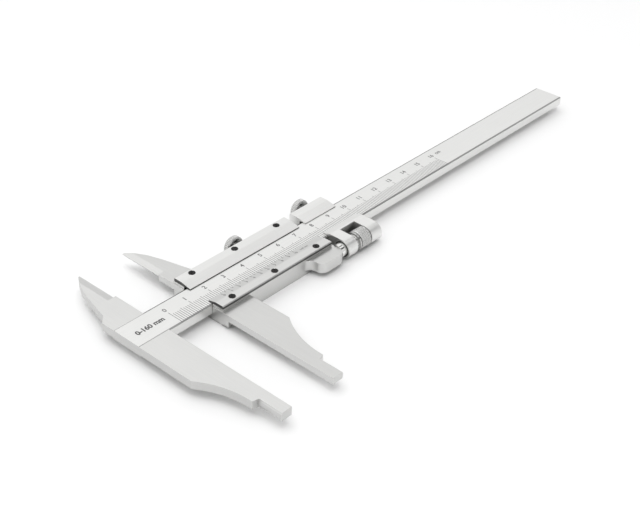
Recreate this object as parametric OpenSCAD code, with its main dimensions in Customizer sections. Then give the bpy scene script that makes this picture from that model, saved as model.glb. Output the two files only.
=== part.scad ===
// Vernier caliper with nib jaws, knife-edge jaws and a fine-feed carriage.
// Units are millimetres. The caliper lies on its back, scale side up.
// X runs along the beam from the fixed jaw to the free end.
// Y runs across the beam, towards the knife-edge jaws.
// Z points out of the scale face.
// The origin is under the middle of the caliper's outline, on the face that
// it lies on. The modules are drawn from another point, where sizes are read:
// the fixed measuring face, the beam's centre line and the beam's back.

/* [Beam] */
// Fixed measuring face to the free end of the beam
beam_len = 259; // [220:1:320]
// Width of the beam across the scale
beam_w = 14.4; // [12:0.1:17.6]
// Thickness of the beam
beam_t = 4.0; // [3.3:0.1:5]

/* [Jaws] */
// Beam centre line to the tip of the measuring jaws
jaw_reach = 66.3; // [55:0.1:80]
// Beam centre line to the tip of the knife-edge jaws
knife_reach = 43.2; // [36:0.1:52]
// Gap between the measuring faces as the caliper is stored
opening = 21; // [5:1:100]
// Width of one nib, half of what the closed pair measures inside a bore
nib_w = 5; // [4.2:0.1:6]
// Width of the fixed jaw's body to the left of its measuring face
fixed_jaw_w = 14; // [12:0.1:18]

/* [Slider] */
// Length of the slider frame along the beam
slider_len = 60.6; // [52:0.1:75]
// Thickness of the wall behind the beam
back_t = 3.15; // [2.4:0.05:4]
// Thickness of the two plates that hold the slider on the beam
plate_t = 1.2; // [1:0.1:1.6]

/* [Carriage] */
// Length of the fine-feed carriage along the beam
carriage_len = 20.3; // [18:0.1:26]
// Gap between the slider frame and the carriage as stored
carriage_gap = 3.7; // [3:0.1:8]

/* [Screws] */
// Diameter of the fine-feed screw
feed_screw_d = 4; // [3:0.1:4.8]
// Diameter of the lock screws' knurled heads
knob_d = 8.8; // [7.5:0.1:10.4]
// Diameter of the lock screws' shanks
lock_screw_d = 3; // [2:0.1:3.6]
// Diameter of the plate screws' heads
plate_screw_head_d = 2.7; // [2.6:0.1:3.6]

/* [Hidden] */
$fn = 96;
eps = 0.5;                      // how far a cutter passes the face it opens
slide_gap = 0.05;               // running clearance of sliding faces
turn_gap = 0.03;                // radial running clearance of turning shafts
thread_gap = 0.02;              // radial clearance modelled at threads
half_w = beam_w / 2;
edge_chamfer = 0.3;
beam_bevel_w = 0.7;                             // along the scale face
beam_bevel_h = 0.3;

// Heights
front_z = beam_t;                               // scale face of the beam
plate_z = beam_t + slide_gap;                   // underside of the plates
top_z = plate_z + plate_t;                      // front of the plates
back_z = -slide_gap - back_t;                   // face the caliper lies on
fixed_jaw_low = 0.35;                           // fixed jaws' back face
fixed_jaw_top = beam_t - 0.1;                   // fixed jaws' front face
slide_jaw_top = beam_t - 0.95;                  // sliding jaws' front face
knife_edge_z = 0.6 * beam_t;                    // height where the knives meet
knife_edge_t = 0.2;                             // flat left on a knife edge

// From the point the modules are drawn from to the row's origin
row_shift = [-(beam_len - fixed_jaw_w) / 2, (jaw_reach - knife_reach) / 2, -back_z];

// Measuring jaws
jaw_arc_r = 37.1;                               // hollow of the jaws' outer side
jaw_neck_w = 7.2;                               // jaw width where the nib begins
nib_len = 10.4;                                 // nib height above the jaw tip
nib_round_r = 3.5;                              // nib's round measuring face
nib_relief_r = 1.1;
arc_end_y = -(jaw_reach - nib_len - 1.4);       // where the hollow side ends
slide_jaw_w = 14.8;
root_y = -(half_w + 8.3);                       // end of the thick jaw root
root_z = back_z + 0.8;

// Knife-edge jaws
knife_start_y = half_w + 15;                    // where the bevels begin
knife_len = knife_reach - half_w;
knife_front_bevel = 3.8;
knife_back_bevel = 1.6;
slide_knife_bevel = 2.8;

// Slider
slide_x = opening;                              // sliding measuring face
frame_low_y = -(half_w + 5.15);
frame_high_y = half_w + 6.7;
slot_y = half_w + 1.0;                          // slot floor behind the spring
plate_x = 0.55;                                 // plate inset from the jaw face
plate_len = slider_len - plate_x;
lip = 0.3;                                      // thin edge of a bevelled plate
vernier_edge_y = -(half_w - 2.5);
vernier_bevel_y = -(half_w + 1.2);
cover_edge_y = half_w - 2.1;
cover_bevel_y = half_w + 2.6;
plate_screw_xs = [7.5, slider_len / 2, slider_len - 6.7];
vernier_screw_y = -(half_w + 2.75);
cover_screw_y = half_w + 4.4;
plate_screw_d = 1.8;
screw_depth = 3.2;                              // screw length in the rail
screw_proud = 0.15;
screw_head_t = 0.75;
slot_w = 0.5;                                   // driver slot

// Boss for the feed screw, also the thumb rest
boss_x0 = slider_len - 12.7;
boss_x1 = slider_len + 0.9;
boss_y = -(half_w + 12.0);
boss_fillet = 3.3;
boss_round = [3.8, 2.9];                        // reach of its rounded corners
corner_step = 10;                               // degrees between their points
tail_r = 1.5;                                   // end of the screw in the boss
boss_wall = 0.7;
boss_h = 2 * (tail_r + boss_wall);

// Fine feed
feed_travel = 2.5;                              // slider travel to either side
feed_y = -(half_w + 7.4);
feed_z = (top_z + back_z) / 2;
feed_r = feed_screw_d / 2;
lug_r = (top_z - back_z) / 2 - 0.05;
carriage_x = slide_x + slider_len + carriage_gap;
lug_t = 2 * feed_travel + 0.3;                  // lug next to the slider
far_lug_t = 6.2;
shank_r = feed_r + 1.0;                         // smooth part in the near lug
shank_x = slide_x + boss_x1;
shank_end_x = carriage_x + feed_travel + 0.2;
lead_in = 0.5;                                  // chamfer of the shank's hole
window_wall = 1.6;
carriage_high_y = half_w + 6.7;
carriage_corner = 1.6;
lip_wide_y = -(half_w + 0.8);
nut_x0 = carriage_x + lug_t + slide_gap;
nut_x1 = carriage_x + carriage_len - far_lug_t - slide_gap;
collar_r = 3.4;
ring_r = 4.05;
neck_r = 3.6;
nut_r = lug_r;
pin_d = 1.2;
pin_x = shank_x - 5;
screw_end_x = carriage_x + carriage_len - feed_travel - 0.3;
screw_start_x = shank_x - 9;

// Lock screws and leaf springs
lock_z = beam_t / 2;
slider_lock_x = slide_x + 0.571 * slider_len;
carriage_lock_x = carriage_x + 9;
spring_t = 0.4;
spring_h = beam_t - 0.8;
spring_bend = 5;
knob_y0 = frame_high_y + 1.3;
knob_body = 1.7;
knob_dome = 1.6;
knob_chamfer = 0.5;
knob_neck_r = 2.3;

// ---------------------------------------------------------------- helpers

module placed() {
    translate(row_shift)
        children();
}

// A bar along X whose cross-section is given as [y, z] points.
module bar_x(x0, length, section) {
    translate([x0, 0, 0])
        rotate([90, 0, 90])
            linear_extrude(height = length)
                polygon(section);
}

// A bar along Y whose cross-section is given as [x, z] points.
module bar_y(y0, length, section) {
    translate([0, y0 + length, 0])
        rotate([90, 0, 0])
            linear_extrude(height = length)
                polygon(section);
}

// A flat shape with its outline in X and Y.
module slab(z0, z1, outline) {
    translate([0, 0, z0])
        linear_extrude(height = z1 - z0)
            polygon(outline);
}

module box_between(low, high) {
    translate(low)
        cube(high - low);
}

module rod_x(x0, x1, r, y, z) {
    translate([x0, y, z])
        rotate([0, 90, 0])
            cylinder(h = x1 - x0, r = r);
}

module cone_x(x0, x1, r0, r1, y, z) {
    translate([x0, y, z])
        rotate([0, 90, 0])
            cylinder(h = x1 - x0, r1 = r0, r2 = r1);
}

module rod_y(y0, y1, r, x, z) {
    translate([x, y1, z])
        rotate([90, 0, 0])
            cylinder(h = y1 - y0, r = r);
}

module rod_z(z0, z1, r, x, y) {
    translate([x, y, z0])
        cylinder(h = z1 - z0, r = r);
}

// ------------------------------------------------------------------- jaws

// Measuring jaw with its measuring face at x = 0 and its body at x < 0.
module measuring_jaw(width, start_y, z0, z1) {
    mid_z = (z0 + z1) / 2;
    difference() {
        slab(z0, z1, [
            [0, start_y],
            [-width, start_y],
            [-width, arc_end_y],
            [-jaw_neck_w, arc_end_y],
            [-jaw_neck_w, arc_end_y - 0.6],
            [-nib_w + 0.4, arc_end_y - 1.4],
            [0, arc_end_y - 1.4]
        ]);
        rod_z(z0 - eps, z1 + eps, jaw_arc_r, -(jaw_neck_w + jaw_arc_r), arc_end_y);
        rod_z(z0 - eps, z1 + eps, nib_relief_r, -nib_w - 0.3, arc_end_y - 2.2);
    }
    intersection() {
        box_between([-nib_w, -jaw_reach, z0], [0, arc_end_y - 0.9, z1]);
        rod_y(-jaw_reach, arc_end_y, nib_round_r, nib_round_r - nib_w, mid_z);
    }
    difference() {
        box_between([-nib_w + nib_round_r, -jaw_reach, z0], [0, arc_end_y - 0.9, z1]);
        rod_z(z0 - eps, z1 + eps, nib_relief_r, -nib_w - 0.3, arc_end_y - 2.2);
    }
}

// Knife-edge jaw blank with its edge at x = 0 and its body at x < 0.
module knife_blank(width, start_y, z0, z1) {
    slab(z0, z1, [
        [0, start_y],
        [-width, start_y],
        [-width, half_w + 6.0],
        [-0.78 * fixed_jaw_w, half_w + 9.2],
        [-9.6, half_w + 0.40 * knife_len],
        [-7.8, half_w + 0.60 * knife_len],
        [-5.7, half_w + 0.775 * knife_len],
        [-3.4, half_w + 0.89 * knife_len],
        [-0.9, knife_reach - 0.3],
        [0, knife_reach]
    ]);
}

// Cutter for one bevel: it leaves the jaw between the edge and the given face.
module bevel(edge_z, face_z, face_x) {
    far_z = face_z + sign(face_z - edge_z) * eps;
    bar_y(knife_start_y, knife_len, [
        [eps, edge_z],
        [0, edge_z],
        [-face_x, face_z],
        [-face_x, far_z],
        [eps, far_z]
    ]);
}

// ------------------------------------------------------------------- beam

module beam() {
    color([0.80, 0.80, 0.79])
    placed()
    union() {
        bar_x(-fixed_jaw_w, beam_len + fixed_jaw_w, [
            [-half_w, 0],
            [half_w, 0],
            [half_w, front_z - beam_bevel_h],
            [half_w - beam_bevel_w, front_z],
            [-half_w + beam_bevel_w, front_z],
            [-half_w, front_z - beam_bevel_h]
        ]);
        measuring_jaw(fixed_jaw_w, -half_w + 1, fixed_jaw_low, fixed_jaw_top);
        difference() {
            knife_blank(fixed_jaw_w, half_w - 1, fixed_jaw_low, fixed_jaw_top);
            bevel(knife_edge_z + knife_edge_t / 2, fixed_jaw_top, knife_front_bevel);
            bevel(knife_edge_z - knife_edge_t / 2, fixed_jaw_low, knife_back_bevel);
        }
    }
}

// ----------------------------------------------------------------- slider

// Holes for the plate screws in the rail under a plate.
module rail_screw_holes(y) {
    for (x = plate_screw_xs)
        rod_z(plate_z - screw_depth - 0.3, plate_z + eps,
              plate_screw_d / 2 + thread_gap, slide_x + x, y);
}

// Points of an oval corner around a centre; the angles count from +X.
function oval_corner(centre, reach, from, to) = [
    for (a = [from : corner_step : to])
        centre + [reach[0] * cos(a), reach[1] * sin(a)]
];

module feed_boss() {
    z0 = feed_z - boss_h / 2;
    z1 = feed_z + boss_h / 2;
    difference() {
        slab(z0, z1, concat(
            [
                [boss_x1, frame_low_y + 1.5],
                [slider_len - 2, frame_low_y + 0.5],
                [boss_x0 - boss_fillet, frame_low_y + 0.5],
                [boss_x0 - boss_fillet, frame_low_y],
                [boss_x0, frame_low_y - boss_fillet]
            ],
            oval_corner([boss_x0 + boss_round[0], boss_y + boss_round[1]], boss_round, 180, 270),
            oval_corner([boss_x1 - boss_round[0], boss_y + boss_round[1]], boss_round, 270, 360)
        ));
        rod_z(z0 - eps, z1 + eps, boss_fillet, boss_x0 - boss_fillet, frame_low_y - boss_fillet);
    }
}

module slider_frame() {
    color([0.72, 0.72, 0.71])
    placed()
    difference() {
        translate([slide_x, 0, 0]) {
            bar_x(0.2, slider_len - 0.2, [
                [frame_low_y, back_z],
                [frame_high_y, back_z],
                [frame_high_y, plate_z],
                [slot_y, plate_z],
                [slot_y, -slide_gap],
                [-half_w - slide_gap, -slide_gap],
                [-half_w - slide_gap, plate_z],
                [frame_low_y, plate_z]
            ]);
            mirror([1, 0, 0])
                measuring_jaw(slide_jaw_w, frame_low_y + 1, fixed_jaw_low, slide_jaw_top);
            box_between([0, root_y, root_z], [slide_jaw_w, frame_low_y + 1, slide_jaw_top]);
            box_between([0, frame_low_y, root_z], [1, -half_w - slide_gap, slide_jaw_top]);
            difference() {
                mirror([1, 0, 0])
                    knife_blank(fixed_jaw_w, slot_y, fixed_jaw_low, slide_jaw_top);
                mirror([1, 0, 0])
                    bevel(knife_edge_z + knife_edge_t / 2, slide_jaw_top, slide_knife_bevel);
                mirror([1, 0, 0])
                    bevel(knife_edge_z - knife_edge_t / 2, fixed_jaw_low, knife_back_bevel);
            }
            feed_boss();
        }
        rail_screw_holes(vernier_screw_y);
        rail_screw_holes(cover_screw_y);
        rod_y(slot_y - eps, frame_high_y + eps, lock_screw_d / 2 + turn_gap,
              slider_lock_x, lock_z);
        rod_x(screw_start_x - 0.3, shank_x + eps, tail_r + thread_gap, feed_y, feed_z);
        rod_z(feed_z - boss_h / 2 - eps, feed_z + boss_h / 2 - 0.4, pin_d / 2, pin_x, feed_y);
    }
}

// Counterbored holes for the plate screws.
module plate_screw_seats(y) {
    for (x = plate_screw_xs) {
        rod_z(plate_z - eps, top_z + eps, plate_screw_d / 2 + 0.1, slide_x + x, y);
        rod_z(top_z + screw_proud - screw_head_t, top_z + eps,
              plate_screw_head_d / 2 + 0.06, slide_x + x, y);
    }
}

module vernier_plate() {
    color([0.78, 0.78, 0.77])
    placed()
    difference() {
        bar_x(slide_x + plate_x, plate_len, [
            [frame_low_y, plate_z],
            [vernier_edge_y, plate_z],
            [vernier_edge_y, plate_z + lip],
            [vernier_bevel_y, top_z],
            [frame_low_y + edge_chamfer, top_z],
            [frame_low_y, top_z - edge_chamfer]
        ]);
        plate_screw_seats(vernier_screw_y);
    }
}

module cover_plate() {
    color([0.78, 0.78, 0.77])
    placed()
    difference() {
        bar_x(slide_x + plate_x, plate_len, [
            [cover_edge_y, plate_z],
            [frame_high_y, plate_z],
            [frame_high_y, top_z - edge_chamfer],
            [frame_high_y - edge_chamfer, top_z],
            [cover_bevel_y, top_z],
            [cover_edge_y, plate_z + lip]
        ]);
        plate_screw_seats(cover_screw_y);
    }
}

// Slotted cheese-head screws in a row along a plate.
module plate_screws(y) {
    head_top = top_z + screw_proud;
    for (x = plate_screw_xs)
        translate([slide_x + x, y, 0])
            difference() {
                union() {
                    rod_z(plate_z - screw_depth, head_top - screw_head_t + 0.1,
                          plate_screw_d / 2, 0, 0);
                    rod_z(head_top - screw_head_t, head_top, plate_screw_head_d / 2, 0, 0);
                }
                rotate([0, 0, 25 + 40 * x / slider_len])
                    box_between([-plate_screw_head_d, -slot_w / 2, head_top - 0.4],
                                [plate_screw_head_d, slot_w / 2, head_top + eps]);
            }
}

module vernier_plate_screws() {
    color([0.10, 0.10, 0.11])
    placed()
        plate_screws(vernier_screw_y);
}

module cover_plate_screws() {
    color([0.10, 0.10, 0.11])
    placed()
        plate_screws(cover_screw_y);
}

// ---------------------------------------------------- springs, lock screws

// Bowed strip: its middle bears on the beam, its bent ends on the rail.
module leaf_spring(x0, x1) {
    rest_y = half_w + slide_gap;
    lift = slot_y - slide_gap - spring_t - rest_y;
    slab((beam_t - spring_h) / 2, (beam_t + spring_h) / 2, [
        [x0, rest_y + lift],
        [x0 + spring_bend, rest_y],
        [x1 - spring_bend, rest_y],
        [x1, rest_y + lift],
        [x1, rest_y + lift + spring_t],
        [x1 - spring_bend, rest_y + spring_t],
        [x0 + spring_bend, rest_y + spring_t],
        [x0, rest_y + lift + spring_t]
    ]);
}

// Screw with a domed knurled head, its axis along Y.
module lock_screw(x) {
    tip_y = half_w + slide_gap + spring_t + 0.02;
    knob_r = knob_d / 2;
    knob_y1 = knob_y0 + knob_chamfer + knob_body;
    translate([x, 0, lock_z])
        rotate([-90, 0, 0])
            rotate_extrude()
                polygon([
                    [0, tip_y],
                    [lock_screw_d / 2 - 0.5, tip_y],
                    [lock_screw_d / 2, tip_y + 0.5],
                    [lock_screw_d / 2, frame_high_y + 0.3],
                    [knob_neck_r, frame_high_y + 0.3],
                    [knob_neck_r, knob_y0],
                    [knob_r - knob_chamfer, knob_y0],
                    [knob_r, knob_y0 + knob_chamfer],
                    [knob_r, knob_y1],
                    [knob_r - 0.25, knob_y1 + 0.35],
                    [knob_r - 0.9, knob_y1 + 0.95],
                    [knob_r - 2.0, knob_y1 + 1.4],
                    [0, knob_y1 + knob_dome]
                ]);
}

module slider_spring() {
    color([0.45, 0.45, 0.47])
    placed()
        leaf_spring(slide_x + 1.5, slide_x + slider_len - 1.5);
}

module slider_lock_screw() {
    color([0.74, 0.74, 0.73])
    placed()
        lock_screw(slider_lock_x);
}

module carriage_spring() {
    color([0.45, 0.45, 0.47])
    placed()
        leaf_spring(carriage_x + 1, carriage_x + carriage_len - carriage_corner - 1);
}

module carriage_lock_screw() {
    color([0.74, 0.74, 0.73])
    placed()
        lock_screw(carriage_lock_x);
}

// --------------------------------------------------------------- carriage

// One lug: a block whose free end is rounded about the feed screw.
module lug(x0, x1) {
    box_between([x0, feed_y, feed_z - lug_r], [x1, -half_w - window_wall, feed_z + lug_r]);
    rod_x(x0, x1, lug_r, feed_y, feed_z);
}

module carriage_frame() {
    corner_x = carriage_x + carriage_len - carriage_corner;
    color([0.74, 0.74, 0.73])
    placed()
    difference() {
        union() {
            bar_x(carriage_x, carriage_len, [
                [-half_w - window_wall, back_z],
                [carriage_high_y, back_z],
                [carriage_high_y, top_z - edge_chamfer],
                [carriage_high_y - edge_chamfer, top_z],
                [cover_bevel_y, top_z],
                [cover_edge_y, plate_z + lip],
                [cover_edge_y, plate_z],
                [slot_y, plate_z],
                [slot_y, -slide_gap],
                [-half_w - slide_gap, -slide_gap],
                [-half_w - slide_gap, plate_z],
                [vernier_edge_y, plate_z],
                [vernier_edge_y, plate_z + lip],
                [lip_wide_y, top_z - 0.05],
                [-half_w - window_wall, top_z - 0.05]
            ]);
            lug(carriage_x, carriage_x + lug_t);
            lug(carriage_x + carriage_len - far_lug_t, carriage_x + carriage_len);
        }
        rod_x(carriage_x - eps, carriage_x + lug_t + eps, shank_r + slide_gap, feed_y, feed_z);
        rod_x(carriage_x + lug_t, carriage_x + carriage_len + eps, feed_r + turn_gap,
              feed_y, feed_z);
        cone_x(carriage_x, carriage_x + lead_in, shank_r + slide_gap + lead_in,
               shank_r + slide_gap, feed_y, feed_z);
        box_between([corner_x, cover_edge_y - eps, back_z - eps],
                    [corner_x + carriage_corner + eps, carriage_high_y + eps, top_z + eps]);
        rod_y(slot_y - eps, carriage_high_y + eps, lock_screw_d / 2 + turn_gap,
              carriage_lock_x, lock_z);
    }
}

// -------------------------------------------------------------- fine feed

module feed_screw() {
    color([0.82, 0.82, 0.82])
    placed()
    difference() {
        union() {
            rod_x(screw_start_x, shank_x + 0.1, tail_r, feed_y, feed_z);
            rod_x(shank_x, shank_end_x - 0.3, shank_r, feed_y, feed_z);
            cone_x(shank_end_x - 0.3, shank_end_x, shank_r, shank_r - 0.3, feed_y, feed_z);
            rod_x(shank_end_x - 0.1, screw_end_x - 0.5, feed_r, feed_y, feed_z);
            cone_x(screw_end_x - 0.5, screw_end_x, feed_r, feed_r - 0.5, feed_y, feed_z);
        }
        rod_z(feed_z - tail_r - eps, feed_z + tail_r + eps, pin_d / 2, pin_x, feed_y);
    }
}

module feed_screw_pin() {
    color([0.45, 0.45, 0.47])
    placed()
        rod_z(feed_z - boss_h / 2, feed_z + boss_h / 2 - 0.4, pin_d / 2, pin_x, feed_y);
}

module feed_nut() {
    bore_r = feed_r + turn_gap;
    color([0.70, 0.70, 0.70])
    placed()
    translate([0, feed_y, feed_z])
        rotate([0, 90, 0])
            rotate_extrude()
                polygon([
                    [bore_r, nut_x0],
                    [collar_r - 0.2, nut_x0],
                    [collar_r, nut_x0 + 0.2],
                    [collar_r, nut_x0 + 1.6],
                    [ring_r, nut_x0 + 1.8],
                    [ring_r, nut_x0 + 2.6],
                    [neck_r, nut_x0 + 2.8],
                    [neck_r, nut_x0 + 3.2],
                    [nut_r - 0.3, nut_x0 + 3.2],
                    [nut_r, nut_x0 + 3.5],
                    [nut_r, nut_x1 - 0.4],
                    [nut_r - 0.4, nut_x1],
                    [bore_r, nut_x1]
                ]);
}

// ------------------------------------------------------------------ build

beam();
slider_frame();
vernier_plate();
cover_plate();
vernier_plate_screws();
cover_plate_screws();
slider_spring();
slider_lock_screw();
carriage_frame();
carriage_spring();
carriage_lock_screw();
feed_screw();
feed_screw_pin();
feed_nut();
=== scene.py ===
"""Vernier caliper: materials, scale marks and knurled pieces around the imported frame.

Sizes are in millimetres until at() or MM turns them into metres.
"""

import math

import bmesh
import bpy
from mathutils import Matrix, Vector


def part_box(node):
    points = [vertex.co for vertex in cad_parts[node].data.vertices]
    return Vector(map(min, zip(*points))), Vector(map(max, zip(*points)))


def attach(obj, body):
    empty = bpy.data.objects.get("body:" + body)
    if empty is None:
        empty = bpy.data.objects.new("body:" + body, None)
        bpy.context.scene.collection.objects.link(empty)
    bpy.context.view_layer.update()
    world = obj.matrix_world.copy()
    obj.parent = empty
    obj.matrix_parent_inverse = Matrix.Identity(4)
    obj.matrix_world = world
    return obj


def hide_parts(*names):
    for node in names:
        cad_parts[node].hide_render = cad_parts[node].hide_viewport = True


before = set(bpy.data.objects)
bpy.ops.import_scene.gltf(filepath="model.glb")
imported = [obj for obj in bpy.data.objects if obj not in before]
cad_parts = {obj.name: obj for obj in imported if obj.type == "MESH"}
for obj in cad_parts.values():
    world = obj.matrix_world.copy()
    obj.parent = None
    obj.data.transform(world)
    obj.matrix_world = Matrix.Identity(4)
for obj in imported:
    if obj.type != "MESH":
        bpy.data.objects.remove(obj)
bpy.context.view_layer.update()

MM = 0.001
MICRON = 0.000001

# ------------------------------------------------------------------ places
# at() counts from the fixed measuring face, the beam's centre line and the
# beam's back, as the sizes of the caliper do.
FIXED_JAW_W = 14
JAW_REACH = 66.3
BEAM_W = 14.4
BEAM_T = 4
OPENING = 21

beam_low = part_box("beam")[0]
START = beam_low + Vector((FIXED_JAW_W, JAW_REACH, 0)) * MM


def at(x, y, z):
    return START + Vector((x, y, z)) * MM


# -------------------------------------------------------------- materials
def node_tree(name):
    material = bpy.data.materials.new(name)
    material.use_nodes = True
    return material, material.node_tree.nodes, material.node_tree.links


def add(nodes, kind, **inputs):
    """A new shader node; spaces in its sockets' names are written as _."""
    node = nodes.new("ShaderNode" + kind)
    for socket, value in inputs.items():
        node.inputs[socket.replace("_", " ")].default_value = value
    return node


def maths(nodes, links, operation, *values):
    """A Math node's output; each value is a number or another node's output."""
    node = nodes.new("ShaderNodeMath")
    node.operation = operation
    for socket, value in zip(node.inputs, values):
        if isinstance(value, float):
            socket.default_value = value
        else:
            links.new(value, socket)
    return node.outputs[0]


def vector_maths(nodes, links, operation, first, second=None):
    """A VectorMath node of a node's output and, for some, a fixed vector."""
    node = nodes.new("ShaderNodeVectorMath")
    node.operation = operation
    links.new(first, node.inputs[0])
    if second is not None:
        node.inputs[1].default_value = second
    return node


def ranged(nodes, links, source, low, high, from_low=0.3, from_high=0.7):
    """The source value stretched from its usual range to low..high."""
    scaled = add(nodes, "MapRange")
    scaled.inputs["From Min"].default_value = from_low
    scaled.inputs["From Max"].default_value = from_high
    scaled.inputs["To Min"].default_value = low
    scaled.inputs["To Max"].default_value = high
    links.new(source, scaled.inputs["Value"])
    return scaled.outputs["Result"]


def noise(nodes, links, stretch, detail=3):
    """Noise with a number of features per metre along each axis."""
    place = add(nodes, "TexCoord")
    mapping = add(nodes, "Mapping", Scale=stretch)
    pattern = add(nodes, "TexNoise", Scale=1.0, Detail=float(detail))
    links.new(place.outputs["Object"], mapping.inputs["Vector"])
    links.new(mapping.outputs["Vector"], pattern.inputs["Vector"])
    return pattern.outputs["Fac"]


EDGE_R = 0.18
BUMP_STRENGTH = 0.6
SHADER_SAMPLES = 4
FINER_MARKS = 1.7
WARMTH = 0.985
SMOOTHER = 0.015
ROUGHER = 0.02
# how far a rounded corner's normal agrees with the face's: worn, and not worn
WORN_RAMP = (0.75, 0.99)
TONE_SPREAD = 0.03
WORN_COLOUR = (0.95, 0.95, 0.94, 1)
CLOUDS = (90.0, 90.0, 90.0)
SPECKLE = (2500.0, 2500.0, 2500.0)
WEAR = (1200.0, 1200.0, 1200.0)
# painted shade in the narrow gaps and, darker, in the deep recesses: how far each
# looks for a wall in millimetres, its darkest tone, and the openness at which it ends
GAP_SHADES = ((0.8, 0.25, 0.6), (3.5, 0.04, 0.42))


def steel(name, grey, roughness, grain, depth, bright_edge=0.15):
    """Ground or satin steel.

    grain is how many grinding marks fit in a metre along X, Y and Z, and depth
    is how deep they look in micrometres. Corners are broken to EDGE_R, and
    bright_edge is how far they are worn brighter. Narrow gaps and deep recesses
    get painted shade in their colour.
    """
    material, nodes, links = node_tree(name)
    shader = nodes["Principled BSDF"]
    shader.inputs["Metallic"].default_value = 1.0

    rounded = add(nodes, "Bevel", Radius=EDGE_R * MM)
    rounded.samples = SHADER_SAMPLES
    bump = add(nodes, "Bump", Strength=BUMP_STRENGTH, Distance=depth * MICRON)
    links.new(noise(nodes, links, grain), bump.inputs["Height"])
    links.new(rounded.outputs["Normal"], bump.inputs["Normal"])
    links.new(bump.outputs["Normal"], shader.inputs["Normal"])

    # cloudy wear of the surface, and the grinding marks seen as tone
    clouds = noise(nodes, links, CLOUDS, 2)
    marks = noise(nodes, links, tuple(FINER_MARKS * g for g in grain), 2)
    cloudy = ranged(nodes, links, clouds, 1 - TONE_SPREAD / 3, 1 + TONE_SPREAD / 3)
    marked = ranged(nodes, links, marks, 1 - TONE_SPREAD, 1 + TONE_SPREAD)
    tone = maths(nodes, links, "MULTIPLY", cloudy, marked)

    # painted shade: ambient occlusion darkens the base colour near walls
    for reach, darkest, shade_end in GAP_SHADES:
        shade = add(nodes, "AmbientOcclusion", Distance=reach * MM)
        shade.samples = SHADER_SAMPLES
        gap_shade = ranged(nodes, links, shade.outputs["AO"], darkest, 1.0, 0.0, shade_end)
        tone = maths(nodes, links, "MULTIPLY", tone, gap_shade)

    # corners where the rounded normal leaves the face's own normal
    geometry = add(nodes, "NewGeometry")
    facing = vector_maths(nodes, links, "DOT_PRODUCT", geometry.outputs["True Normal"])
    links.new(rounded.outputs["Normal"], facing.inputs[1])
    worn = ranged(nodes, links, facing.outputs["Value"], bright_edge, 0.0, *WORN_RAMP)

    colour = add(nodes, "Mix")
    colour.data_type = "RGBA"
    colour.inputs["B"].default_value = WORN_COLOUR
    body = add(nodes, "HueSaturation", Color=(grey, grey, grey * WARMTH, 1))
    links.new(tone, body.inputs["Value"])
    links.new(body.outputs["Color"], colour.inputs["A"])
    links.new(worn, colour.inputs["Factor"])
    links.new(colour.outputs["Result"], shader.inputs["Base Color"])
    cloudy_roughness = ranged(nodes, links, clouds, roughness - SMOOTHER, roughness + ROUGHER)
    links.new(cloudy_roughness, shader.inputs["Roughness"])
    return material


DEEP_BLACK = (0.010, 0.010, 0.012, 1)
THIN_BLACK = (0.060, 0.058, 0.056, 1)
BLACK_ROUGHNESS = (0.3, 0.5)


def blackened(name):
    """Blackened steel, speckled where the black is thin."""
    material, nodes, links = node_tree(name)
    shader = nodes["Principled BSDF"]
    shader.inputs["Metallic"].default_value = 1.0
    speckle = noise(nodes, links, SPECKLE)
    colour = add(nodes, "Mix")
    colour.data_type = "RGBA"
    colour.inputs["A"].default_value = DEEP_BLACK
    colour.inputs["B"].default_value = THIN_BLACK
    links.new(ranged(nodes, links, speckle, 0.0, 1.0), colour.inputs["Factor"])
    links.new(colour.outputs["Result"], shader.inputs["Base Color"])
    links.new(ranged(nodes, links, speckle, *BLACK_ROUGHNESS), shader.inputs["Roughness"])
    return material


INK_WEAR = 0.12
INK_ROUGHNESS = 0.6


def ink(name, grey):
    """Paint in the engraved marks, worn a little thin in places."""
    material, nodes, links = node_tree(name)
    shader = nodes["Principled BSDF"]
    wear = noise(nodes, links, WEAR)
    colour = add(nodes, "Mix")
    colour.data_type = "RGBA"
    colour.inputs["A"].default_value = (grey, grey, grey, 1)
    worn_grey = grey + INK_WEAR
    colour.inputs["B"].default_value = (worn_grey, worn_grey, worn_grey, 1)
    links.new(ranged(nodes, links, wear, 0.0, 1.0), colour.inputs["Factor"])
    links.new(colour.outputs["Result"], shader.inputs["Base Color"])
    shader.inputs["Roughness"].default_value = INK_ROUGHNESS
    return material


ALONG_X = (40.0, 5000.0, 5000.0)
ALONG_Y = (5000.0, 40.0, 5000.0)
NO_GRAIN = (3000.0, 3000.0, 3000.0)

beam_steel = steel("beam_steel", 0.78, 0.30, ALONG_X, 4, bright_edge=0.0)
# darker copies of the beam's steel for its two long bevels: painted shade
front_bevel_shaded_steel = steel("front_bevel_shaded_steel", 0.40, 0.30, ALONG_X, 4, bright_edge=0.0)
rear_bevel_shaded_steel = steel("rear_bevel_shaded_steel", 0.12, 0.30, ALONG_X, 4, bright_edge=0.0)
jaw_steel = steel("jaw_steel", 0.69, 0.34, ALONG_Y, 5)
# a darker copy of the jaws' steel for their sides: painted shade
jaw_side_shaded_steel = steel("jaw_side_shaded_steel", 0.60, 0.36, ALONG_Y, 5)
frame_steel = steel("frame_steel", 0.64, 0.34, ALONG_Y, 5)
carriage_steel = steel("carriage_steel", 0.80, 0.42, ALONG_X, 4)
vernier_steel = steel("vernier_steel", 0.67, 0.32, ALONG_X, 4)
cover_steel = steel("cover_steel", 0.77, 0.32, ALONG_X, 4)
spring_steel = steel("spring_steel", 0.42, 0.30, ALONG_X, 3)
knurled_steel = steel("knurled_steel", 0.56, 0.24, NO_GRAIN, 3)
polished_steel = steel("polished_steel", 0.80, 0.10, NO_GRAIN, 1)
# a dark copy of the steel for the plates' cut edges: painted shade
edge_shaded_steel = steel("edge_shaded_steel", 0.12, 0.45, NO_GRAIN, 6)
black_steel = blackened("black_steel")
mark_ink = ink("mark_ink", 0.09)
dark_ink = ink("dark_ink", 0.02)

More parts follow.
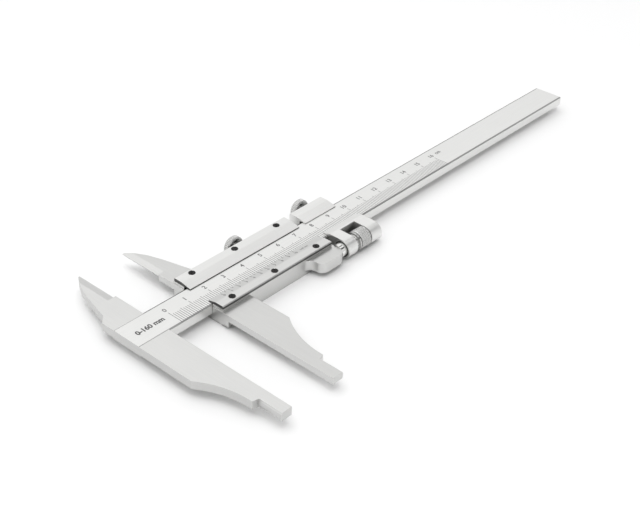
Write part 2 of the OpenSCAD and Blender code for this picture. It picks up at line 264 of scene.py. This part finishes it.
NODE_MATERIALS = {
    "beam": beam_steel,
    "slider_frame": frame_steel,
    "vernier_plate": vernier_steel,
    "cover_plate": cover_steel,
    "vernier_plate_screws": black_steel,
    "cover_plate_screws": black_steel,
    "slider_spring": spring_steel,
    "slider_lock_screw": knurled_steel,
    "carriage_frame": carriage_steel,
    "carriage_spring": spring_steel,
    "carriage_lock_screw": knurled_steel,
    "feed_screw": polished_steel,
    "feed_screw_pin": spring_steel,
    "feed_nut": knurled_steel,
}
for node_name, material in NODE_MATERIALS.items():
    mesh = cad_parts[node_name].data
    mesh.materials.clear()
    mesh.materials.append(material)

# How far a face looks up: less than UPRIGHT or SQUARE_EDGE on a side, more than
# LEVEL on a flat top, and between them on a bevel.
UPRIGHT = 0.3
LEVEL = 0.99
SQUARE_EDGE = 0.1
HAIR = 0.01


def material_slot(mesh, material):
    """Adds the material to the mesh and returns its index there."""
    mesh.materials.append(material)
    return len(mesh.materials) - 1


# The jaws are ground across, and their sides get painted shade from a darker copy
# of the steel; the beam is brushed along, and its two long bevels get painted shade,
# darker than its face.
beam_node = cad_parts["beam"]
jaw_slot = material_slot(beam_node.data, jaw_steel)
jaw_side_shaded_slot = material_slot(beam_node.data, jaw_side_shaded_steel)
front_bevel_shaded_slot = material_slot(beam_node.data, front_bevel_shaded_steel)
rear_bevel_shaded_slot = material_slot(beam_node.data, rear_bevel_shaded_steel)
for polygon in beam_node.data.polygons:
    place = beam_node.matrix_world @ polygon.center
    if abs(polygon.normal.z) < UPRIGHT and place.x < START.x - MM:
        polygon.material_index = jaw_side_shaded_slot
    elif abs(place.y - START.y) > (BEAM_W / 2 + HAIR) * MM:
        polygon.material_index = jaw_slot
    elif UPRIGHT < polygon.normal.z < LEVEL:
        polygon.material_index = front_bevel_shaded_slot if place.y < START.y else rear_bevel_shaded_slot

# The cut edges of the two plates get painted shade from a dark copy of the steel.
for node_name in ("vernier_plate", "cover_plate"):
    plate_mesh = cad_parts[node_name].data
    shaded_edge_slot = material_slot(plate_mesh, edge_shaded_steel)
    for polygon in plate_mesh.polygons:
        if abs(polygon.normal.z) < SQUARE_EDGE:
            polygon.material_index = shaded_edge_slot


# ------------------------------------------------------------------ meshes
def make_piece(name, verts, faces, material, body):
    mesh = bpy.data.meshes.new(name)
    mesh.from_pydata([tuple(v) for v in verts], [], faces)
    mesh.validate()
    shell = bmesh.new()
    shell.from_mesh(mesh)
    bmesh.ops.recalc_face_normals(shell, faces=shell.faces)
    shell.to_mesh(mesh)
    shell.free()
    mesh.update()
    mesh.materials.append(material)
    piece = bpy.data.objects.new(name, mesh)
    bpy.context.collection.objects.link(piece)
    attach(piece, body)
    return piece


BAR_FACES = [(0, 3, 2, 1), (4, 5, 6, 7), (0, 1, 5, 4), (1, 2, 6, 5), (2, 3, 7, 6), (3, 0, 4, 7)]
MARK_SINK = 0.02
MARK_RISE = 0.012


class Surface:
    """A flat face that carries marks; its x runs along the beam."""

    def __init__(self, y, z, slope=0.0):
        self.y = y
        self.z = z
        self.up = Vector((0, math.cos(slope), math.sin(slope)))
        self.out = Vector((0, -math.sin(slope), math.cos(slope)))

    def point(self, x, v, rise):
        """x along the beam, v up the face, rise out of it, in millimetres."""
        return at(x, self.y, self.z) + (self.up * v + self.out * rise) * MM


def bar(surface, x, v0, v1, width):
    corners = [
        (x - width / 2, v0),
        (x + width / 2, v0),
        (x + width / 2, v1),
        (x - width / 2, v1),
    ]
    return [surface.point(cx, cv, rise) for rise in (-MARK_SINK, MARK_RISE) for cx, cv in corners]


def bars_piece(name, bars, material, body):
    verts = []
    faces = []
    for corners in bars:
        base = len(verts)
        verts += corners
        faces += [tuple(base + i for i in face) for face in BAR_FACES]
    return make_piece(name, verts, faces, material, body)


# how far the strokes of a text are widened, as a share of the font's size
PLAIN = 0.02
BOLD = 0.04
# any depth does here, because text_piece() gives the marks their real one
HALF_DEPTH = 0.5
CURVE_STEPS = 4


def text_mesh(text, bold):
    """A text as (vertices, faces), 1 tall and centred; z tells front from back."""
    curve = bpy.data.curves.new("text", "FONT")
    curve.body = text
    curve.extrude = HALF_DEPTH
    curve.resolution_u = CURVE_STEPS
    curve.offset = bold
    holder = bpy.data.objects.new("text", curve)
    bpy.context.collection.objects.link(holder)
    bpy.context.view_layer.update()
    mesh = bpy.data.meshes.new_from_object(holder)
    verts = [v.co.copy() for v in mesh.vertices]
    faces = [tuple(p.vertices) for p in mesh.polygons]
    bpy.data.objects.remove(holder)
    bpy.data.curves.remove(curve)
    bpy.data.meshes.remove(mesh)
    low = Vector(min(v[k] for v in verts) for k in range(3))
    high = Vector(max(v[k] for v in verts) for k in range(3))
    tall = high.y - low.y
    middle = (low + high) / 2
    return [Vector(((v.x - middle.x) / tall, (v.y - middle.y) / tall, v.z)) for v in verts], faces


def text_piece(name, surface, labels, height, material, body, bold=PLAIN):
    """labels are (text, x, v) with x and v the middle of each text."""
    verts = []
    faces = []
    for text, x, v in labels:
        base = len(verts)
        outline, text_faces = text_mesh(text, bold)
        for p in outline:
            rise = MARK_RISE if p.z > 0 else -MARK_SINK
            verts.append(surface.point(x + p.x * height, v + p.y * height, rise))
        faces += [tuple(base + i for i in face) for face in text_faces]
    return make_piece(name, verts, faces, material, body)


# ------------------------------------------------------------- beam scale
# The marks' heights and middles count from the beam's centre line.
ZERO_X = 6.35
SCALE_MM = 160
LINE_W = 0.20
SCALE_MARGIN = 0.35
SCALE_LOW = -BEAM_W / 2 + SCALE_MARGIN
MM_TOP = -1.0
HALF_CM_TOP = -0.4
CM_TOP = 0.6
DIGIT_TALL = 2.1
DIGIT_MIDDLE = 2.7
UNIT_X = 171.2
UNIT_MIDDLE = 2.5
UNIT_TALL = 1.4
RANGE_X = -3.5
RANGE_MIDDLE = -0.5
RANGE_TALL = 2.5

beam_face = Surface(0, BEAM_T)


def line_top(mm):
    if mm % 10 == 0:
        return CM_TOP
    if mm % 5 == 0:
        return HALF_CM_TOP
    return MM_TOP


bars_piece(
    "beam_scale_lines",
    [
        bar(beam_face, ZERO_X + mm, SCALE_LOW, line_top(mm), LINE_W)
        for mm in range(SCALE_MM + 1)
    ],
    mark_ink,
    "beam",
)
text_piece(
    "beam_scale_numbers",
    beam_face,
    [(str(cm), ZERO_X + 10 * cm, DIGIT_MIDDLE) for cm in range(SCALE_MM // 10 + 1)],
    DIGIT_TALL,
    mark_ink,
    "beam",
)
text_piece(
    "beam_unit_mark",
    beam_face,
    [("cm", UNIT_X, UNIT_MIDDLE)],
    UNIT_TALL,
    mark_ink,
    "beam",
)
text_piece(
    "beam_range_mark",
    beam_face,
    [("0-160 mm", RANGE_X, RANGE_MIDDLE)],
    RANGE_TALL,
    dark_ink,
    "beam",
    BOLD,
)

# ---------------------------------------------------------------- vernier
DIVISIONS = 20
VERNIER_LEN = 39
DIVISION = VERNIER_LEN / DIVISIONS
VERNIER_EDGE_Y = -4.7
VERNIER_EDGE_Z = 4.35
BEVEL_W = 3.7
BEVEL_RISE = 0.9
VERNIER_LINE_TOP = -0.04
VERNIER_LONG = -1.7
VERNIER_SHORT = -1.2
VERNIER_DIGIT_TALL = 1.2
VERNIER_DIGIT_MIDDLE = -2.5
STEP_X = 50.2
STEP_MIDDLE = -2.2
STEP_TALL = 0.9
# v counts up the bevel from its thin edge, which lies towards the beam
vernier_face = Surface(VERNIER_EDGE_Y, VERNIER_EDGE_Z, -math.atan2(BEVEL_RISE, BEVEL_W))

bars_piece(
    "vernier_lines",
    [
        bar(
            vernier_face,
            OPENING + ZERO_X + i * DIVISION,
            VERNIER_LONG if i % 2 == 0 else VERNIER_SHORT,
            VERNIER_LINE_TOP,
            LINE_W,
        )
        for i in range(DIVISIONS + 1)
    ],
    mark_ink,
    "slider",
)
text_piece(
    "vernier_numbers",
    vernier_face,
    [
        (str(i // 2), OPENING + ZERO_X + i * DIVISION, VERNIER_DIGIT_MIDDLE)
        for i in range(0, DIVISIONS + 1, 2)
    ],
    VERNIER_DIGIT_TALL,
    mark_ink,
    "slider",
)
text_piece(
    "vernier_step_mark",
    vernier_face,
    [("0.05 mm", OPENING + STEP_X, STEP_MIDDLE)],
    STEP_TALL,
    mark_ink,
    "slider",
)


# ------------------------------------------------------------ turned pieces
GROOVE_SHARPNESS = 1.5
RING_STEP = 0.12
STEPS_PER_TOOTH = 6
SHARP_ANGLE = 30


def knurl(angle, along, teeth, lead):
    """0 on the points of a knurl and 1 at the bottom of its grooves.

    lead is how far the grooves turn in a millimetre, in teeth times radians; they
    cross in diamonds, or run straight where it is 0.
    """
    one = math.cos(teeth * angle + lead * along)
    other = math.cos(teeth * angle - lead * along)
    return max(max(0.0, one), max(0.0, other)) ** GROOVE_SHARPNESS


def turned(name, node, axis, profile, teeth, lead, depth, material, body):
    """A turned piece that replaces a CAD node of the same profile.

    profile lists (distance along the axis, radius, knurled) in millimetres,
    counted from the node's lowest end; between two knurled points the surface
    is cut with a knurl of that many teeth, that lead and that depth.
    """
    low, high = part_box(node)
    centre = (low + high) / 2
    forward = Vector((0, 0, 0))
    forward[axis] = 1.0
    side = Vector((0, 0, 1))
    other = forward.cross(side)
    base = Vector(centre)
    base[axis] = low[axis]
    rings = []
    for (a0, r0, cut0), (a1, r1, cut1) in zip(profile, profile[1:]):
        fine = max(2, round((a1 - a0) / RING_STEP)) if cut0 and cut1 else 1
        for i in range(fine):
            share = i / fine
            rings.append((a0 + (a1 - a0) * share, r0 + (r1 - r0) * share, cut0 and cut1))
    rings.append((profile[-1][0], profile[-1][1], False))
    around = teeth * STEPS_PER_TOOTH
    verts = []
    for along, radius, cut in rings:
        for k in range(around):
            angle = 2 * math.pi * k / around
            r = radius - (depth * knurl(angle, along, teeth, lead) if cut else 0.0)
            spoke = side * math.cos(angle) + other * math.sin(angle)
            verts.append(base + (forward * along + spoke * r) * MM)
    faces = []
    for j in range(len(rings) - 1):
        for k in range(around):
            a = j * around + k
            b = j * around + (k + 1) % around
            faces.append((a, b, b + around, a + around))
    last = (len(rings) - 1) * around
    if profile[0] == profile[-1]:
        faces = [tuple(v - last if v >= last else v for v in face) for face in faces]
        verts = verts[:last]
    else:
        faces.append(tuple(reversed(range(around))))
        faces.append(tuple(range(last, last + around)))
    piece = make_piece(name, verts, faces, material, body)
    piece.data.polygons.foreach_set("use_smooth", [True] * len(piece.data.polygons))
    piece.data.set_sharp_from_angle(angle=math.radians(SHARP_ANGLE))
    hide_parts(node)
    return piece


# The nut: bore, collar, ring, neck and knurled drum, as the CAD node has them.
nut_low, nut_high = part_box("feed_nut")
NUT_LEN = (nut_high.x - nut_low.x) / MM
NUT_R = (nut_high.z - nut_low.z) / 2 / MM
NUT_BORE = 2.03
COLLAR_R = 3.4
COLLAR_END = 1.8
RING_R = 4.05
RING_END = 2.6
NECK_R = 3.6
NECK_END = 3.2
NUT_BEVEL = 0.2
DRUM_NEAR_BEVEL = 0.3
DRUM_FAR_BEVEL = 0.4
NUT_TEETH = 36
NUT_LEAD = 7.5
NUT_CUT = 0.16
turned(
    "feed_nut_knurled",
    "feed_nut",
    0,
    [
        (0, NUT_BORE, False),
        (0, COLLAR_R - NUT_BEVEL, False),
        (NUT_BEVEL, COLLAR_R, False),
        (COLLAR_END - NUT_BEVEL, COLLAR_R, False),
        (COLLAR_END, RING_R, False),
        (RING_END, RING_R, False),
        (RING_END + NUT_BEVEL, NECK_R, False),
        (NECK_END, NECK_R, False),
        (NECK_END, NUT_R - DRUM_NEAR_BEVEL, False),
        (NECK_END + DRUM_NEAR_BEVEL, NUT_R, True),
        (NUT_LEN - DRUM_FAR_BEVEL, NUT_R, True),
        (NUT_LEN, NUT_R - DRUM_FAR_BEVEL, False),
        (NUT_LEN, NUT_BORE, False),
        (0, NUT_BORE, False),
    ],
    NUT_TEETH,
    NUT_LEAD,
    NUT_CUT,
    knurled_steel,
    "feed_nut",
)

# The lock screws: a plain shank, a neck and a domed head with a knurled rim.
KNOB_R = 4.4
LOCK_SHANK_R = 1.5
LOCK_TIP = 0.5
LOCK_NECK_R = 2.3
LOCK_NECK_LEN = 1.0
RIM_BEVEL = 0.5
RIM_LEN = 1.7
# the dome: distance past the rim, and how much smaller than the rim it is there
DOME = ((0.35, 0.25), (0.95, 0.9), (1.4, 2.0), (1.6, 3.4))
DOME_LEN = DOME[-1][0]
KNOB_TEETH = 40
KNOB_LEAD = 0.0
KNOB_CUT = 0.2
for node_name, body in (
    ("slider_lock_screw", "slider_lock"),
    ("carriage_lock_screw", "carriage_lock"),
):
    lock_low, lock_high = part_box(node_name)
    total = (lock_high.y - lock_low.y) / MM
    rim_end = total - DOME_LEN
    head = rim_end - RIM_LEN - RIM_BEVEL
    turned(
        node_name + "_knurled",
        node_name,
        1,
        [
            (0, LOCK_SHANK_R - LOCK_TIP, False),
            (LOCK_TIP, LOCK_SHANK_R, False),
            (head - LOCK_NECK_LEN, LOCK_SHANK_R, False),
            (head - LOCK_NECK_LEN, LOCK_NECK_R, False),
            (head, LOCK_NECK_R, False),
            (head, KNOB_R - RIM_BEVEL, False),
            (head + RIM_BEVEL, KNOB_R, True),
            (rim_end, KNOB_R, True),
        ]
        + [(rim_end + past, KNOB_R - smaller, False) for past, smaller in DOME],
        KNOB_TEETH,
        KNOB_LEAD,
        KNOB_CUT,
        knurled_steel,
        body,
    )

# --------------------------------------------------------- camera and light
CAMERA_PLACE = Vector((-343.85, -252.98, 269.19)) * MM
CAMERA_RIGHT = Vector((0.66403, -0.74705, 0.03117))
CAMERA_UP = Vector((0.40312, 0.39281, 0.82655))
LENS = 67.15
SENSOR_W = 36
CLIP_NEAR = 0.01
CLIP_FAR = 10
LAMP_SIZE = 1.0
KEY_PLACE = (-0.15, 0.25, 1.1)
KEY_WATTS = 4.1
FILL_PLACE = (-0.15, -0.30, 1.1)
FILL_WATTS = 3.7
ROOM_LIGHT = 1.08
HORIZON_LIGHT = 0.70
CEILING_SHARE = 0.5
# heights on a sphere of radius 1 between which the walls and the ceiling change
WALL_RAMP = (0.05, 0.53)
CEILING_RAMP = (0.72, 0.90)
# dark strips hung along the beam: (height over the right side, half width) in degrees
DARK_STRIPS = ((95, 6), (50, 11))
STRIP_LIGHT = 0.06
# distances from the X axis, on the same sphere, over which the strips fade in
STRIP_RAMP = (0.45, 0.62)
# a strip's soft edge, as shares of its half width
SOFT_OUTSIDE = 1.4
SOFT_INSIDE = 0.7
FLOOR_HALF = 3.0
FLOOR_GREY = 0.95
FLOOR_ROUGHNESS = 0.55


def make_camera():
    data = bpy.data.cameras.new("camera")
    data.lens = LENS
    data.sensor_width = SENSOR_W
    data.clip_start = CLIP_NEAR
    data.clip_end = CLIP_FAR
    camera = bpy.data.objects.new("camera", data)
    bpy.context.collection.objects.link(camera)
    back = CAMERA_RIGHT.cross(CAMERA_UP)
    turn = Matrix((CAMERA_RIGHT, CAMERA_UP, back)).transposed().to_4x4()
    camera.matrix_world = Matrix.Translation(CAMERA_PLACE) @ turn
    bpy.context.scene.camera = camera


def make_light(name, place, watts):
    """A square soft box that looks at the middle of the caliper."""
    data = bpy.data.lights.new(name, "AREA")
    data.shape = "SQUARE"
    data.size = LAMP_SIZE
    data.energy = watts
    light = bpy.data.objects.new(name, data)
    bpy.context.collection.objects.link(light)
    light.location = place
    light.rotation_mode = "QUATERNION"
    light.rotation_quaternion = (-Vector(place)).to_track_quat("-Z", "Y")


def make_world():
    """A white room, a little dimmer towards the horizon, with two dark strips.

    The ceiling behind the lamps is dimmer, so that faces that mirror it don't glare.
    The strips hang high over the right side and end well before the horizon.
    Polished round pieces show them as dark lines.
    """
    world = bpy.data.worlds.new("studio")
    bpy.context.scene.world = world
    world.use_nodes = True
    nodes = world.node_tree.nodes
    links = world.node_tree.links
    background = nodes["Background"]
    background.inputs["Color"].default_value = (1, 1, 1, 1)
    direction = nodes.new("ShaderNodeTexCoord").outputs["Generated"]
    parts = nodes.new("ShaderNodeSeparateXYZ")
    links.new(direction, parts.inputs[0])
    walls = ranged(nodes, links, parts.outputs["Z"], HORIZON_LIGHT, ROOM_LIGHT, *WALL_RAMP)
    ceiling = ranged(nodes, links, parts.outputs["Z"], 1.0, CEILING_SHARE, *CEILING_RAMP)
    light = maths(nodes, links, "MULTIPLY", walls, ceiling)

    across = vector_maths(nodes, links, "MULTIPLY", direction, (0, 1, 1))
    level = vector_maths(nodes, links, "NORMALIZE", across.outputs["Vector"])
    reach = vector_maths(nodes, links, "LENGTH", across.outputs["Vector"]).outputs["Value"]
    present = ranged(nodes, links, reach, 0.0, 1.0 - STRIP_LIGHT, *STRIP_RAMP)
    for tilt, half in DARK_STRIPS:
        angle = math.radians(tilt)
        strip = (0, -math.cos(angle), math.sin(angle))
        towards = vector_maths(nodes, links, "DOT_PRODUCT", level.outputs["Vector"], strip)
        covered = ranged(
            nodes,
            links,
            towards.outputs["Value"],
            0.0,
            1.0,
            math.cos(math.radians(SOFT_OUTSIDE * half)),
            math.cos(math.radians(SOFT_INSIDE * half)),
        )
        taken = maths(nodes, links, "MULTIPLY", covered, present)
        left = maths(nodes, links, "SUBTRACT", 1.0, taken)
        light = maths(nodes, links, "MULTIPLY", light, left)
    links.new(light, background.inputs["Strength"])


def make_floor():
    mesh = bpy.data.meshes.new("floor")
    signs = ((-1, -1), (1, -1), (1, 1), (-1, 1))
    mesh.from_pydata([(x * FLOOR_HALF, y * FLOOR_HALF, 0) for x, y in signs], [], [(0, 1, 2, 3)])
    floor = bpy.data.objects.new("floor", mesh)
    bpy.context.collection.objects.link(floor)
    material, nodes, links = node_tree("floor")
    shader = nodes["Principled BSDF"]
    shader.inputs["Base Color"].default_value = (FLOOR_GREY, FLOOR_GREY, FLOOR_GREY, 1)
    shader.inputs["Roughness"].default_value = FLOOR_ROUGHNESS
    mesh.materials.append(material)


make_camera()
make_light("key", KEY_PLACE, KEY_WATTS)
make_light("fill", FILL_PLACE, FILL_WATTS)
make_world()
make_floor()
bpy.context.scene.view_settings.view_transform = "Standard"
